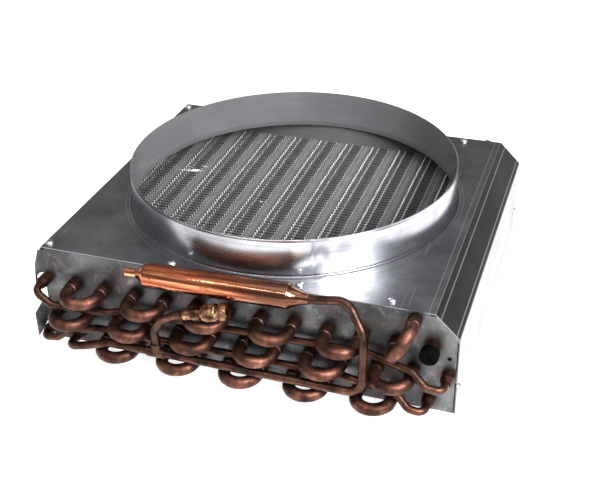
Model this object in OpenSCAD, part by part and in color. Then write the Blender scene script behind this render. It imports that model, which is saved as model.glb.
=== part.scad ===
// Air-cooled condenser: a three-row coil of copper hairpins in a stack of
// aluminium fins, between two sheet metal end plates, under a shroud with a
// round fan collar. The pipework in front carries a filter drier and an
// access valve.
//
// X runs along the front plate, Y from the front plate to the rear one, Z up.
// The origin is the middle of the fan opening, level with the shroud's top.
// Every piece is drawn from the casing's front left top corner, the place
// where the shroud's top, its left edge and its front edge meet.

/* [Coil] */
// Copper tube outer diameter
tube_d = 9.53; // [8.5:0.01:9.8]
// Copper tube wall
tube_wall = 0.5; // [0.35:0.05:0.8]
// Distance between neighbouring tubes of one row
tube_pitch = 25.4; // [24.8:0.1:27]
// Distance between rows
row_pitch = 22; // [21.6:0.1:23]
// Tubes in each row, an odd number
tubes_per_row = 13; // [11:2:15]
// Depth of the first tube, which runs above the fins, below the casing top
first_tube_depth = 7; // [6.8:0.1:8]
// Straight part of a return bend in front of the casing
front_leg = 12.5; // [11:0.5:15]
// Straight part of a hairpin behind the casing
rear_leg = 2.5; // [1.5:0.5:12]
// How far the widened tube mouths stand in front of the casing
bell_reach = 8; // [7:0.5:9]
// Wall of a widened tube mouth
bell_wall = 0.5; // [0.35:0.05:0.6]

/* [Fins] */
// Spaces between fins along the coil
fin_spaces = 43; // [30:1:47]
// Fin thickness
fin_t = 0.3; // [0.2:0.05:0.4]
// Fin edge beyond the outermost tube centres
fin_side = 5.05; // [5:0.01:5.15]
// Fin edge above the first fin row
fin_top = 11; // [9:0.5:12]
// Gap between the outer fins and the casing ends
fin_end_gap = 4; // [3.5:0.1:4.5]

/* [Casing] */
// Casing depth, front edge to rear edge
casing_d = 279.5; // [276:0.5:290]
// Casing height
casing_h = 84; // [83:0.5:90]
// Width and height of the sloping corner on the right
chamfer = 18; // [14:0.5:18.5]
// Sheet thickness of shroud, collar and end plates
sheet_t = 0.8; // [0.6:0.05:0.9]
// Outer radius of the sheet bends
bend_r = 1.8; // [1.4:0.1:2.4]
// First tube centre to the outside of the right wall
tube_from_wall = 6.8; // [6.7:0.1:7.5]
// Last tube centre to the shroud's left edge
tube_from_left = 1.4; // [1:0.1:2.4]
// Height of the shroud's left lip
left_lip = 17; // [8:1:17.5]
// End plates behind the shroud's front and rear edges
plate_inset = 1; // [0.6:0.1:1.4]
// Depth of the end plates' inner flanges
flange_d = 12; // [11:0.5:14]
// Length of the end plates' left tabs
tab_d = 13.6; // [12:0.1:15]
// Angle by which the left tabs are splayed out from square
tab_splay = 50; // [45:1:60]

/* [Fan collar] */
// Collar outer radius
collar_r = 132.9; // [120:0.1:133.5]
// Collar height above the shroud
collar_h = 31.5; // [20:0.5:40]
// Width of the collar's rim under the shroud
collar_rim = 2; // [1:0.1:2]
// Collar centre left of the casing's middle
collar_left = 4.4; // [0:0.1:6]
// Collar centre behind the casing's middle
collar_back = 1.7; // [0:0.1:3]

/* [Pipework] */
// Outer diameter of the two jumper tubes
jumper_d = 6; // [5:0.1:6.35]
// Outer diameter of the liquid line and of the process tube
line_d = 6.35; // [6:0.05:6.4]
// Wall of the small tubes
line_wall = 0.7; // [0.5:0.05:0.9]
// Filter drier outer diameter
drier_d = 19.05; // [17:0.05:20]
// Length of the drier's straight barrel
drier_l = 108; // [80:1:115]
// Wall of the drier
drier_wall = 0.9; // [0.6:0.1:1.2]
// Slope of the drier
drier_tilt = 1.6; // [0:0.1:3]

/* [Access valve] */
// Slope of the access valve
valve_tilt = 16.5; // [12:0.5:20]
// Hexagon size across flats
hex_af = 9.5; // [9:0.1:10]
// Diameter of the threaded nose
nose_d = 8.6; // [8:0.1:9]
// Cap outer diameter
cap_d = 12.8; // [12.4:0.1:13.4]
// Cap length
cap_l = 19.5; // [18:0.5:21]

/* [Screws and caps] */
// Screw head diameter
head_d = 6.6; // [5:0.1:7.5]
// Screw shank diameter
shank_d = 3.2; // [2.6:0.1:3.4]
// Distance of the screws from the casing's front and rear edges
screw_inset = 7; // [6.6:0.1:7.2]
// Half the spacing of the two screws beside the collar
screw_half_gap = 50; // [45:1:60]
// Rubber cap outer diameter
rubber_cap_d = 13.8; // [13:0.1:15]
// Rubber cap length
rubber_cap_l = 7; // [6:0.5:9]
// Thickness of the rubber cap's face
rubber_face = 3.5; // [2:0.5:4]

/* [Hidden] */
$fn = 48;

// Clearances: a slip fit, a brazed socket, a sheet seat, and two parts that move past each other
slip = 0.05;
socket = 0.04;
seat = 0.1;
moving = 0.3;
// How far a cutting shape reaches past what it cuts
past = 1;
// Relief cut above and below a folded tab, and how much lower its bend is than the tab
relief = 0.4;
tab_step = 0.05;
// Angle by which a bend laps into a straight length, and the difference in size there
lap_turn = 1.5;
hair = 0.015;

// Coil
tube_r = tube_d / 2;
half_pitch = tube_pitch / 2;
last_k = 2 * tubes_per_row - 1;
casing_w = tube_from_left + last_k * half_pitch + tube_from_wall;
top_w = casing_w - chamfer;
bell_in = tube_r + socket;
bell_out = bell_in + bell_wall;
fin_top_z = tube_z(1) + fin_top;
fin_bottom_z = -casing_h + 0.5;
rear_turn_y = casing_d + rear_leg;

// Place of a tube: k counts half pitches from the right, rows count downwards
function tube_x(k) = casing_w - tube_from_wall - k * half_pitch;
function tube_z(row) = -first_tube_depth - row * row_pitch;
function tube_at(row, k) = [tube_x(k), tube_z(row)];
// Height midway between a row and the next one down
function below_row(row) = (tube_z(row) + tube_z(row + 1)) / 2;

// Tube pairs of each row, as [row, k] of both ends: the k of the first tube, then every fourth
function pairs(row, first, last) = [for (k = [first:4:last]) [[row, k], [row, k + 2]]];
rear_row_1 = pairs(1, 3, last_k - 2);
rear_row_2 = pairs(2, 0, last_k - 5);
rear_row_3 = pairs(3, 1, last_k - 4);
rear_crossovers = [[[1, 1], [0, 2]], [[2, last_k - 1], [3, last_k]]];
front_row_1 = pairs(1, 5, last_k - 4);
front_row_2 = pairs(2, 2, last_k - 3);
front_row_3 = pairs(3, 3, last_k - 6);
front_crossover = [[0, 2], [1, 3]];
inlet = [1, 1];
upper_jumper_ends = [[1, last_k], [2, 0]];
lower_jumper_ends = [[3, last_k], [3, 1]];
outlet = [3, last_k - 2];
reduced_ends = concat(upper_jumper_ends, lower_jumper_ends, [outlet]);
all_tubes = [for (row = [1:3]) for (k = [row % 2:2:last_k]) [row, k]];
bent_ends = [for (p = concat([front_crossover], front_row_1, front_row_2, front_row_3))
             for (end = p) end];

// Pipework
line_r = line_d / 2;
jumper_r = jumper_d / 2;
nose_from = 5.5;
nose_to = 9.5;
spigot = 2.5;
inserted_y = -nose_from - 0.5;
jumper_bend = 6;
line_bend = 8;
riser_bend = 13;
riser_x = tube_x(4.4);
riser_y = -24;
run_y = -22;
run_z = below_row(2) + 0.2;
tee_x = tube_x(17);
tee_r = 4.1;
tee_half = 7;
tee_arm = 8.5;
drier_r = drier_d / 2;
drier_y = -12.5;
drier_right = [riser_x - 42.2, drier_y, 3.6];
drier_cone = 8;
drier_neck_r = line_r + 1.1;
drier_neck = 9;
drier_stub = 8;
barrel_from = drier_stub + drier_cone;
barrel_to = barrel_from + drier_l;
neck_from = barrel_to + drier_cone;
neck_to = neck_from + drier_neck;

// Access valve, along its own axis from the process tube's end
valve_base = [tee_x + 27.5, -25, tube_z(1) + 9];
collar_len = 7;
hex_len = 6;
neck_len = 2.2;
nose_len = 13;
valve_socket = 5;
valve_bore_r = 2.3;
nose_r = nose_d / 2;
body_len = collar_len + hex_len + neck_len + nose_len;
cap_start = collar_len + hex_len + neck_len + 0.6;
gasket_t = 1.5;
cap_r = cap_d / 2;
barrel_len = 9;
barrel_z = body_len - barrel_len - 0.8;
seal_t = 1.5;
foot_t = 0.7;
foot_r = 1.8;
core_start = barrel_z - seal_t - foot_t - 2 * slip;
pin_travel = 1.2;
pin_r = 0.8;
spring_r = 1.6;
spring_room = 6;
spring_len = 2.9;

// Casing
plate_y = plate_inset;
flange_z = -sheet_t - seat;
plate_left = sheet_t + seat;
plate_right = casing_w - sheet_t - seat;
collar_x = casing_w / 2 - collar_left;
collar_y = casing_d / 2 + collar_back;
first_screw = 5.3;
last_screw_gap = 32.4;
screw_mid = collar_x - 1;
screw_xs = [first_screw, screw_mid - screw_half_gap, screw_mid + screw_half_gap,
            top_w - last_screw_gap];
screw_l = 6;
side_screw_z = tube_z(3) + 8.5;
earth_hole_r = 1.6;
// The top flanges stop short of the plates' left and right ends
flange_from_left = 2;
flange_from_right = 4;

module at_corner() {
  translate([-collar_x, -collar_y, 0]) children();
}

// Puts a shape drawn along +Z at a point of the front face, pointing to the rear
module along_y(xz, y) {
  translate([xz[0], y, xz[1]]) rotate([-90, 0, 0]) children();
}

function unit(v) = v / norm(v);
function turn_at(p, i) = acos(max(-1, min(1, unit(p[i] - p[i - 1]) * unit(p[i + 1] - p[i]))));
function trim_at(p, i, bend) = (i == 0 || i == len(p) - 1) ? 0 : bend * tan(turn_at(p, i) / 2);

module rod(a, b, r) {
  d = b - a;
  translate(a) rotate([0, acos(d[2] / norm(d)), atan2(d[1], d[0])]) cylinder(h = norm(d), r = r);
}

// Round bend of a rod at corner b of the way a, b, c
module elbow(a, b, c, turn, bend, r) {
  u = unit(b - a);
  v = unit(c - b);
  centre = b + unit(v - u) * bend / cos(turn / 2);
  x = unit(b - u * bend * tan(turn / 2) - centre);
  z = unit(cross(u, v));
  y = cross(z, x);
  multmatrix([[x[0], y[0], z[0], centre[0]],
              [x[1], y[1], z[1], centre[1]],
              [x[2], y[2], z[2], centre[2]],
              [0, 0, 0, 1]])
    rotate([0, 0, -lap_turn]) rotate_extrude(angle = turn + 2 * lap_turn)
      translate([bend, 0]) circle(r = r);
}

// Rod along a list of corners, each rounded with the same bend radius. The straight lengths
// are thicker by a hair, and the bends lap into them.
module bent_rod(p, r, bend) {
  for (i = [0:len(p) - 2]) {
    u = unit(p[i + 1] - p[i]);
    from = i == 0 ? 0 : trim_at(p, i, bend);
    to = i == len(p) - 2 ? 0 : trim_at(p, i + 1, bend);
    rod(p[i] + u * from, p[i + 1] - u * to, r + hair);
  }
  for (i = [1:len(p) - 2])
    elbow(p[i - 1], p[i], p[i + 1], turn_at(p, i), bend, r);
}

// The same way, made longer at both ends, to cut a bore right through
function lengthened(p) = [for (i = [0:len(p) - 1])
  i == 0 ? p[0] - past * unit(p[1] - p[0])
  : i == len(p) - 1 ? p[i] + past * unit(p[i] - p[i - 1])
  : p[i]];

module bent_tube(p, d, wall, bend) {
  difference() {
    bent_rod(p, d / 2, bend);
    bent_rod(lengthened(p), d / 2 - wall, bend);
  }
}

// Half ring between two tube places, turning towards the rear (side 1) or the front (side -1).
// It laps a little into both legs.
module half_turn(a, b, y, r, side) {
  d = unit(a - b);
  mid = (a + b) / 2;
  multmatrix([[d[0], 0, -side * d[1], mid[0]],
              [0, side, 0, y],
              [d[1], 0, side * d[0], mid[1]],
              [0, 0, 0, 1]])
    rotate([0, 0, -lap_turn]) rotate_extrude(angle = 180 + 2 * lap_turn)
      translate([norm(a - b) / 2, 0]) circle(r = r);
}

// Two straight legs, thicker by a hair, and a half turn, as a solid rod
module u_rod(a, b, y_open, y_turn, r) {
  side = sign(y_turn - y_open);
  for (p = [a, b])
    along_y(p, min(y_open, y_turn)) cylinder(h = abs(y_turn - y_open), r = r + hair);
  half_turn(a, b, y_turn, r, side);
}

// Hairpin: both legs run the length of the coil and turn behind the rear plate
module hairpin(pair) {
  a = tube_at(pair[0][0], pair[0][1]);
  b = tube_at(pair[1][0], pair[1][1]);
  difference() {
    union() {
      u_rod(a, b, 0, rear_turn_y, tube_r);
      for (end = pair) tube_mouth(end);
    }
    u_rod(a, b, -past, rear_turn_y, tube_r - tube_wall);
    for (end = pair) tube_mouth_bore(end);
  }
}

function is_plain(end) = len([for (e = reduced_ends) if (e == end) e]) > 0;

// Front end of a tube: plain where a nose is fitted, or widened to take another tube
module tube_mouth(end) {
  p = tube_at(end[0], end[1]);
  if (is_plain(end))
    along_y(p, -nose_from) cylinder(h = nose_from, r = tube_r);
  else {
    along_y(p, -bell_reach) cylinder(h = bell_reach - 1, r = bell_out);
    along_y(p, -1) cylinder(h = 1, r1 = bell_out, r2 = tube_r);
  }
}

module tube_mouth_bore(end) {
  p = tube_at(end[0], end[1]);
  if (is_plain(end))
    along_y(p, -nose_from - past) cylinder(h = nose_from + past, r = tube_r - tube_wall);
  else
    along_y(p, -bell_reach - past) cylinder(h = bell_reach + past - 1, r = bell_in);
}

module hairpins(list) {
  color("#8a5a44") at_corner()
    for (pair = list) hairpin(pair);
}

// Return bend: brazed into two neighbouring tube mouths
module return_bend(pair) {
  a = tube_at(pair[0][0], pair[0][1]);
  b = tube_at(pair[1][0], pair[1][1]);
  bottom = -1 - moving;
  difference() {
    u_rod(a, b, bottom, -front_leg, tube_r);
    u_rod(a, b, bottom + past, -front_leg, tube_r - tube_wall);
  }
}

module return_bends(list) {
  color("#7c4f3d") at_corner()
    for (pair = list) return_bend(pair);
}

module hairpins_row_1() { hairpins(rear_row_1); }
module hairpins_row_2() { hairpins(rear_row_2); }
module hairpins_row_3() { hairpins(rear_row_3); }
module crossover_hairpins() { hairpins(rear_crossovers); }
module return_bends_row_1() { return_bends(front_row_1); }
module return_bends_row_2() { return_bends(front_row_2); }
module return_bends_row_3() { return_bends(front_row_3); }
module crossover_return_bend() { return_bends([front_crossover]); }

// Brazing alloy round each tube mouth that holds a return bend
module braze_rings() {
  ring_h = 0.8;
  color("#9c8468") at_corner()
    for (end = bent_ends)
      along_y(tube_at(end[0], end[1]), -bell_reach - ring_h)
        difference() {
          cylinder(h = ring_h, r1 = tube_r + 0.25, r2 = bell_out);
          translate([0, 0, -past]) cylinder(h = ring_h + 2 * past, r = tube_r + socket / 2);
        }
}

// Noses that narrow a tube end to a small tube, each with a spigot inside the tube
module tube_reducers() {
  spigot_r = tube_r - tube_wall - socket;
  nose = nose_to - nose_from;
  color("#8d6a50") at_corner()
    for (end = reduced_ends) {
      bore = (end == outlet ? line_r : jumper_r) + socket;
      along_y(tube_at(end[0], end[1]), -nose_to)
        rotate_extrude() polygon([
          [bore, 0], [bore + 0.7, 0], [tube_r - 0.3, nose - 0.9], [tube_r, nose],
          [spigot_r, nose], [spigot_r, nose + spigot], [bore, nose + spigot]]);
    }
}

// Way of a small tube out of a tube mouth, straight ahead to the given y
function mouth(end, y) = [tube_x(end[1]), y, tube_z(end[0])];

upper_way = [
  mouth(upper_jumper_ends[0], inserted_y),
  mouth(upper_jumper_ends[0], -17.5),
  [tube_x(last_k) + 13, -17.5, below_row(1) + 0.5],
  [tube_x(last_k) + 57, -11, below_row(1) - 2.4],
  [tube_x(last_k) + 70, -7, below_row(1) - 1.5],
  [tube_x(4.5), -5.5, below_row(1) + 1],
  [tube_x(1.8), -14, below_row(1) - 2],
  [tube_x(0.95), -18.5, tube_z(2) + 1],
  mouth(upper_jumper_ends[1], -18.5),
  mouth(upper_jumper_ends[1], inserted_y)];

lower_way = [
  mouth(lower_jumper_ends[0], inserted_y),
  mouth(lower_jumper_ends[0], -16),
  [tube_x(last_k) + 13, -16, tube_z(3) + 2],
  [tube_x(last_k) + 23, -13, below_row(2) - 2],
  [tube_x(last_k) + 44, -6.8, below_row(2) - 0.5],
  [tube_x(6), -6.8, below_row(2) - 0.5],
  [tube_x(2.6), -14, below_row(2) - 2.3],
  [tube_x(1.9), -18, tube_z(3) + 1.5],
  mouth(lower_jumper_ends[1], -19),
  mouth(lower_jumper_ends[1], inserted_y)];

outlet_way = [
  mouth(outlet, inserted_y),
  mouth(outlet, -21.5),
  [tube_x(outlet[1]) + 14, run_y - 1, tube_z(3) + 4.5],
  [tube_x(outlet[1]) + 37, run_y, run_z],
  [tee_x - 2, run_y, run_z]];

drier_axis = [cos(drier_tilt), 0, sin(drier_tilt)];
liquid_way = [
  [tee_x + 2, run_y, run_z],
  [riser_x, riser_y, run_z],
  [riser_x, riser_y + 1, -12],
  [riser_x - 14, drier_y - 1, 8.5],
  drier_right + 5 * drier_axis,
  drier_right - (drier_neck - 1) * drier_axis];

valve_axis = [cos(valve_tilt), 0, sin(valve_tilt)];
process_way = [
  [tee_x, run_y, run_z + 4],
  [tee_x, run_y, run_z + tee_arm + 2],
  [tee_x + 0.5, -23.5, below_row(1)],
  [tee_x + 8, -24.5, tube_z(1)],
  valve_base - 9 * valve_axis,
  valve_base + (valve_socket - 0.5) * valve_axis];

module jumper_tube_upper() {
  color("#8a5340") at_corner() bent_tube(upper_way, jumper_d, line_wall, jumper_bend);
}

module jumper_tube_lower() {
  color("#8a5340") at_corner() bent_tube(lower_way, jumper_d, line_wall, jumper_bend);
}

module outlet_tube() {
  color("#7a4b3a") at_corner() bent_tube(outlet_way, line_d, line_wall, line_bend);
}

module liquid_line() {
  color("#8a5340") at_corner() bent_tube(liquid_way, line_d, line_wall, riser_bend);
}

module process_tube() {
  color("#8f6a58") at_corner() bent_tube(process_way, line_d, line_wall, line_bend);
}

// Tee between the outlet tube, the liquid line and the process tube
module service_tee() {
  color("#3f2f2a") at_corner() translate([tee_x, run_y, run_z])
    difference() {
      union() {
        rotate([0, 90, 0]) cylinder(h = 2 * tee_half, r = tee_r, center = true);
        cylinder(h = tee_arm, r = tee_r);
      }
      rotate([0, 90, 0]) cylinder(h = 2 * (tee_half + past), r = line_r + socket, center = true);
      cylinder(h = tee_arm + past, r = line_r + socket);
    }
}

// Soft rubber cup over the widened mouth of the inlet, with a dimple in its face
module inlet_cap() {
  cup_r = bell_out + moving;
  dimple_r = 1.6;
  color("#161616") at_corner()
    along_y(tube_at(inlet[0], inlet[1]), -bell_reach - moving - rubber_face)
    difference() {
      union() {
        cylinder(h = rubber_cap_l, r = rubber_cap_d / 2 - 0.2);
        translate([0, 0, 0.8]) cylinder(h = rubber_cap_l - 0.8, r = rubber_cap_d / 2);
      }
      translate([0, 0, rubber_face]) cylinder(h = rubber_cap_l, r = cup_r);
      translate([0, 0, -past]) cylinder(h = past + 1.5, r = dimple_r);
    }
}

// Puts the access valve's pieces on its axis
module on_valve() {
  at_corner() translate(valve_base) rotate([0, 90 - valve_tilt, 0]) children();
}

module access_valve_body() {
  nose_z = collar_len + hex_len + neck_len;
  color("#b08d57") on_valve() difference() {
    union() {
      cylinder(h = collar_len, r = 4.2);
      translate([0, 0, collar_len]) cylinder(h = hex_len, r = hex_af / 2 / cos(30), $fn = 6);
      translate([0, 0, collar_len + hex_len]) cylinder(h = neck_len, r = nose_r - 0.8);
      translate([0, 0, nose_z]) cylinder(h = nose_len - 2, r = nose_r);
      translate([0, 0, nose_z + nose_len - 2]) cylinder(h = 2, r1 = nose_r, r2 = nose_r - 1.4);
    }
    translate([0, 0, -past]) cylinder(h = past + valve_socket, r = line_r + socket);
    cylinder(h = core_start, r = 1.6);
    translate([0, 0, core_start - pin_travel - moving]) cylinder(h = body_len, r = valve_bore_r);
  }
}

// Valve core: a barrel in the bore, with a sprung pin through it
module valve_core_body() {
  color("#c9a86a") on_valve() translate([0, 0, barrel_z])
    difference() {
      cylinder(h = barrel_len, r = valve_bore_r - slip);
      translate([0, 0, -past]) cylinder(h = barrel_len, r = pin_r + slip);
      translate([0, 0, barrel_len - spring_room]) cylinder(h = spring_room + past, r = spring_r + slip);
    }
}

module valve_core_seal() {
  color("#222222") on_valve() translate([0, 0, barrel_z - seal_t - slip])
    difference() {
      cylinder(h = seal_t, r = valve_bore_r - slip);
      translate([0, 0, -past]) cylinder(h = seal_t + 2 * past, r = pin_r + slip);
    }
}

// The spring is drawn as the sleeve that its coils fill when it is pressed together
module valve_core_spring() {
  color("#b5b5b0") on_valve() translate([0, 0, barrel_z + barrel_len - spring_room])
    difference() {
      cylinder(h = spring_len, r = spring_r);
      translate([0, 0, -past]) cylinder(h = spring_len + 2 * past, r = pin_r + slip);
    }
}

module valve_core_pin() {
  foot_z = barrel_z - seal_t - 2 * slip - foot_t;
  tip_z = barrel_z + barrel_len - 0.2;
  color("#d8c08a") on_valve() {
    translate([0, 0, foot_z]) cylinder(h = tip_z - foot_z, r = pin_r);
    translate([0, 0, foot_z]) cylinder(h = foot_t, r = foot_r);
    translate([0, 0, tip_z - 1.6]) cylinder(h = 0.6, r = spring_r - slip);
  }
}

module valve_cap() {
  inner = body_len + gasket_t + 0.1 - cap_start;
  color("#c39a58") on_valve() translate([0, 0, cap_start])
    difference() {
      rotate_extrude() polygon([
        [0, 0], [cap_r - 0.6, 0], [cap_r, 0.8], [cap_r, 11], [cap_r - 0.7, 11.6],
        [cap_r - 0.7, 12.8], [cap_r, 13.6], [cap_r, cap_l - 3], [cap_r - 0.8, cap_l - 1.2],
        [cap_r - 2.4, cap_l], [0, cap_l]]);
      translate([0, 0, -past]) cylinder(h = inner + past, r = nose_r + moving);
    }
}

module cap_gasket() {
  color("#2b2b2b") on_valve() translate([0, 0, body_len + slip])
    cylinder(h = gasket_t, r = nose_r - slip);
}

// Filter drier: a spun copper shell, drawn along +Z from its open left stub
module on_drier() {
  at_corner() translate(drier_right) rotate([0, 90 - drier_tilt, 0])
    translate([0, 0, -neck_to]) children();
}

module drier_shell() {
  r = drier_r;
  w = drier_wall;
  color("#b5673f") on_drier() rotate_extrude() polygon([
    [line_r - line_wall, 0], [line_r, 0], [line_r, drier_stub], [r - 1.2, barrel_from - 1.5],
    [r, barrel_from], [r, barrel_to], [r - 1.2, barrel_to + 1.5], [drier_neck_r, neck_from],
    [drier_neck_r, neck_to], [line_r + socket, neck_to], [line_r + socket, neck_from],
    [r - w, barrel_to], [r - w, barrel_from], [line_r - line_wall, drier_stub]]);
}

module drier_screens() {
  color("#a8a294") on_drier()
    for (z = [barrel_from + 2, barrel_to - 3])
      translate([0, 0, z]) cylinder(h = 1, r = drier_r - drier_wall - slip);
}

module drier_core() {
  color("#d9cfb8") on_drier() translate([0, 0, barrel_from + 3])
    cylinder(h = drier_l - 6, r = drier_r - drier_wall - slip);
}

// One fin: a plain sheet with a collar hole for each tube
module fin_outline() {
  left = tube_x(last_k) - fin_side;
  right = tube_x(0) + fin_side;
  difference() {
    translate([left, fin_bottom_z]) square([right - left, fin_top_z - fin_bottom_z]);
    for (t = all_tubes) translate(tube_at(t[0], t[1])) circle(r = tube_r + socket);
  }
}

module fin_pack() {
  span = casing_d - 2 * fin_end_gap - fin_t;
  color("#a7a9ab") at_corner()
    for (i = [0:fin_spaces])
      translate([0, fin_end_gap + fin_t + i * span / fin_spaces, 0])
        rotate([90, 0, 0]) linear_extrude(height = fin_t) fin_outline();
}

// Outline of an end plate in X and Z: its right top corner follows the shroud's slope
module plate_outline() {
  top = flange_z - bend_r;
  slope = top_w - (sheet_t + moving) * sqrt(2);
  difference() {
    polygon([
      [plate_left, -casing_h], [plate_right, -casing_h], [plate_right, slope - plate_right],
      [slope - top, top], [plate_left, top]]);
    for (z = right_tabs)
      translate([plate_right - bend_r, z[0] - relief])
        square([bend_r + past, z[1] - z[0] + 2 * relief]);
    for (z = left_tabs)
      translate([plate_left - past, z[0] - relief])
        square([bend_r + past, z[1] - z[0] + 2 * relief]);
    for (t = concat(all_tubes, [[0, 2]]))
      translate(tube_at(t[0], t[1])) circle(r = tube_r + socket);
    translate([tube_x(0), below_row(1) + 3.5]) circle(r = earth_hole_r);
  }
}

// Heights between which the side tabs join the plate
right_tabs = [[-casing_h + 2, tube_z(2) - 6], [tube_z(2) + 6, tube_z(1) + 7]];
left_tabs = [[tube_z(3) + 8.1, tube_z(3) + 26.3], [tube_z(1) + 6.2, flange_z - bend_r]];

// Left tabs laid flat: distance from the bend against height
module upper_tab() {
  z = tube_z(1);
  polygon([
    [0, left_tabs[1][0]], [tab_d - 8.3, z + 6.2], [tab_d - 6.3, z + 4], [tab_d - 6.3, z - 4],
    [tab_d - 5.2, z - 10], [tab_d - 2.8, z - 20.3], [tab_d - 6, z + 14.5],
    [tab_d - 9.6, left_tabs[1][1]], [0, left_tabs[1][1]]]);
}

module lower_tab() {
  z = tube_z(3);
  polygon([
    [0, left_tabs[0][0]], [tab_d - 9.4, z + 6.8], [tab_d - 5.7, z + 0.5], [tab_d - 3.8, z - 2.7],
    [tab_d, z - 7.5], [tab_d, z + 14.1], [tab_d - 6.5, z + 23.1], [0, left_tabs[0][1]]]);
}

// Quarter bend of the sheet, or less, standing along +Z between two heights. It is thinner
// by a hair than the flat sheet and laps into it.
module upright_bend(z, turn) {
  translate([0, 0, z[0]]) rotate([0, 0, -lap_turn])
    rotate_extrude(angle = turn + 2 * lap_turn)
      translate([bend_r - sheet_t + hair, 0]) square([sheet_t - 2 * hair, z[1] - z[0]]);
}

// Left tab of the plate with its bend: the tab laid flat is given as a child
module left_tab(z) {
  translate([plate_left + bend_r, plate_y + sheet_t - bend_r, 0]) {
    rotate([0, 0, 90]) upright_bend([z[0] + tab_step, z[1] - tab_step], 90 - tab_splay);
    rotate([0, 0, -tab_splay]) translate([sheet_t - bend_r, 0, 0]) rotate([90, 0, -90])
      linear_extrude(height = sheet_t) children();
  }
}

// End plate of the front, with its top flange cut clear of the collar's rim
module end_plate(collar_from_edge) {
  flange_l = top_w - bend_r - flange_from_right - plate_left;
  difference() {
    union() {
      translate([0, plate_y + sheet_t, 0]) rotate([90, 0, 0])
        linear_extrude(height = sheet_t) plate_outline();
      translate([plate_left + flange_from_left, plate_y + bend_r, flange_z - bend_r])
        rotate([0, 90, 0]) rotate([0, 0, 180]) upright_bend([0, flange_l], 90);
      translate([plate_left + flange_from_left, plate_y + bend_r, flange_z - sheet_t])
        difference() {
          cube([flange_l, flange_d - bend_r, sheet_t]);
          translate([collar_x - plate_left - flange_from_left,
                     collar_from_edge - plate_y - bend_r, -past])
            cylinder(h = sheet_t + 2 * past, r = collar_r + collar_rim + seat);
        }
      for (z = right_tabs) {
        translate([plate_right - bend_r, plate_y + bend_r, 0])
          rotate([0, 0, -90]) upright_bend(z, 90);
        translate([plate_right - sheet_t, plate_y + bend_r, z[0]])
          cube([sheet_t, flange_d - bend_r, z[1] - z[0]]);
      }
    }
    for (x = screw_xs)
      translate([x, screw_inset, flange_z - 2 * sheet_t])
        cylinder(h = 2 * sheet_t + past, r = shank_d / 2 + slip);
    translate([plate_right - 2 * sheet_t, screw_inset, side_screw_z])
      rotate([0, 90, 0]) cylinder(h = 2 * sheet_t + past, r = shank_d / 2 + slip);
  }
  left_tab(left_tabs[0]) lower_tab();
  left_tab(left_tabs[1]) upper_tab();
}

module front_end_plate() {
  color("#8f9396") at_corner() end_plate(collar_y);
}

module rear_end_plate() {
  color("#8f9396") at_corner() translate([0, casing_d, 0]) mirror([0, 1, 0])
    end_plate(casing_d - collar_y);
}

// Folded sheet along Y: the outer faces follow points in X and Z, the sheet lies to their right
module folded_sheet(p, length) {
  n = len(p) - 1;
  for (i = [0:n - 1]) {
    u = unit(p[i + 1] - p[i]);
    a = p[i] + u * sheet_trim(p, i);
    b = p[i + 1] - u * sheet_trim(p, i + 1);
    inward = sheet_t * [u[1], -u[0]];
    translate([0, length, 0]) rotate([90, 0, 0]) linear_extrude(height = length)
      polygon([a, b, b + inward, a + inward]);
  }
  for (i = [1:n - 1]) {
    u = unit(p[i] - p[i - 1]);
    centre = p[i] - u * sheet_trim(p, i) + bend_r * [u[1], -u[0]];
    multmatrix([[-u[1], u[0], 0, centre[0]],
                [0, 0, 1, 0],
                [u[0], u[1], 0, centre[1]],
                [0, 0, 0, 1]])
      upright_bend([0, length], turn_at(p, i));
  }
}

function sheet_trim(p, i) = trim_at(p, i, bend_r);

module shroud() {
  color("#a3a7aa") at_corner() difference() {
    folded_sheet([[0, -left_lip], [0, 0], [top_w, 0], [casing_w, -chamfer], [casing_w, -casing_h]],
                 casing_d);
    translate([collar_x, collar_y, -2 * sheet_t])
      cylinder(h = 2 * sheet_t + past, r = collar_r + slip);
    for (y = [screw_inset, casing_d - screw_inset]) {
      for (x = screw_xs)
        translate([x, y, -2 * sheet_t]) cylinder(h = 2 * sheet_t + past, r = shank_d / 2 + slip);
      translate([casing_w - 2 * sheet_t, y, side_screw_z])
        rotate([0, 90, 0]) cylinder(h = 2 * sheet_t + past, r = shank_d / 2 + slip);
    }
  }
}

// Fan collar: a rolled ring that stands in the opening, with a rim under the shroud
module fan_collar() {
  color("#9ea2a5") at_corner() translate([collar_x, collar_y, 0])
    rotate_extrude() polygon([
      [collar_r - sheet_t, -2 * sheet_t], [collar_r + collar_rim, -2 * sheet_t],
      [collar_r + collar_rim, -sheet_t], [collar_r, -sheet_t], [collar_r, collar_h],
      [collar_r - sheet_t, collar_h]]);
}

// Pan head screw, its head's seat at the origin and its shank down along -Z
module screw() {
  head_r = head_d / 2;
  slot_w = 0.9;
  difference() {
    union() {
      rotate_extrude() polygon([
        [0, 0], [head_r, 0], [head_r, 0.9], [head_r - 0.5, 1.5], [head_r - 1.3, 2], [0, 2.2]]);
      translate([0, 0, 1 - screw_l]) cylinder(h = screw_l, r = shank_d / 2);
      translate([0, 0, -screw_l]) cylinder(h = 1.1, r1 = shank_d / 2 - 0.8, r2 = shank_d / 2);
    }
    for (turn = [0, 90])
      rotate([0, 0, turn + 20]) translate([-head_r * 0.6, -slot_w / 2, 1])
        cube([head_r * 1.2, slot_w, 2]);
  }
}

module top_screws() {
  color("#b9bcc0") at_corner()
    for (x = screw_xs) for (y = [screw_inset, casing_d - screw_inset])
      translate([x, y, 0]) screw();
}

module side_screws() {
  color("#b9bcc0") at_corner()
    for (y = [screw_inset, casing_d - screw_inset])
      translate([casing_w, y, side_screw_z]) rotate([0, 90, 0]) screw();
}

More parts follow.
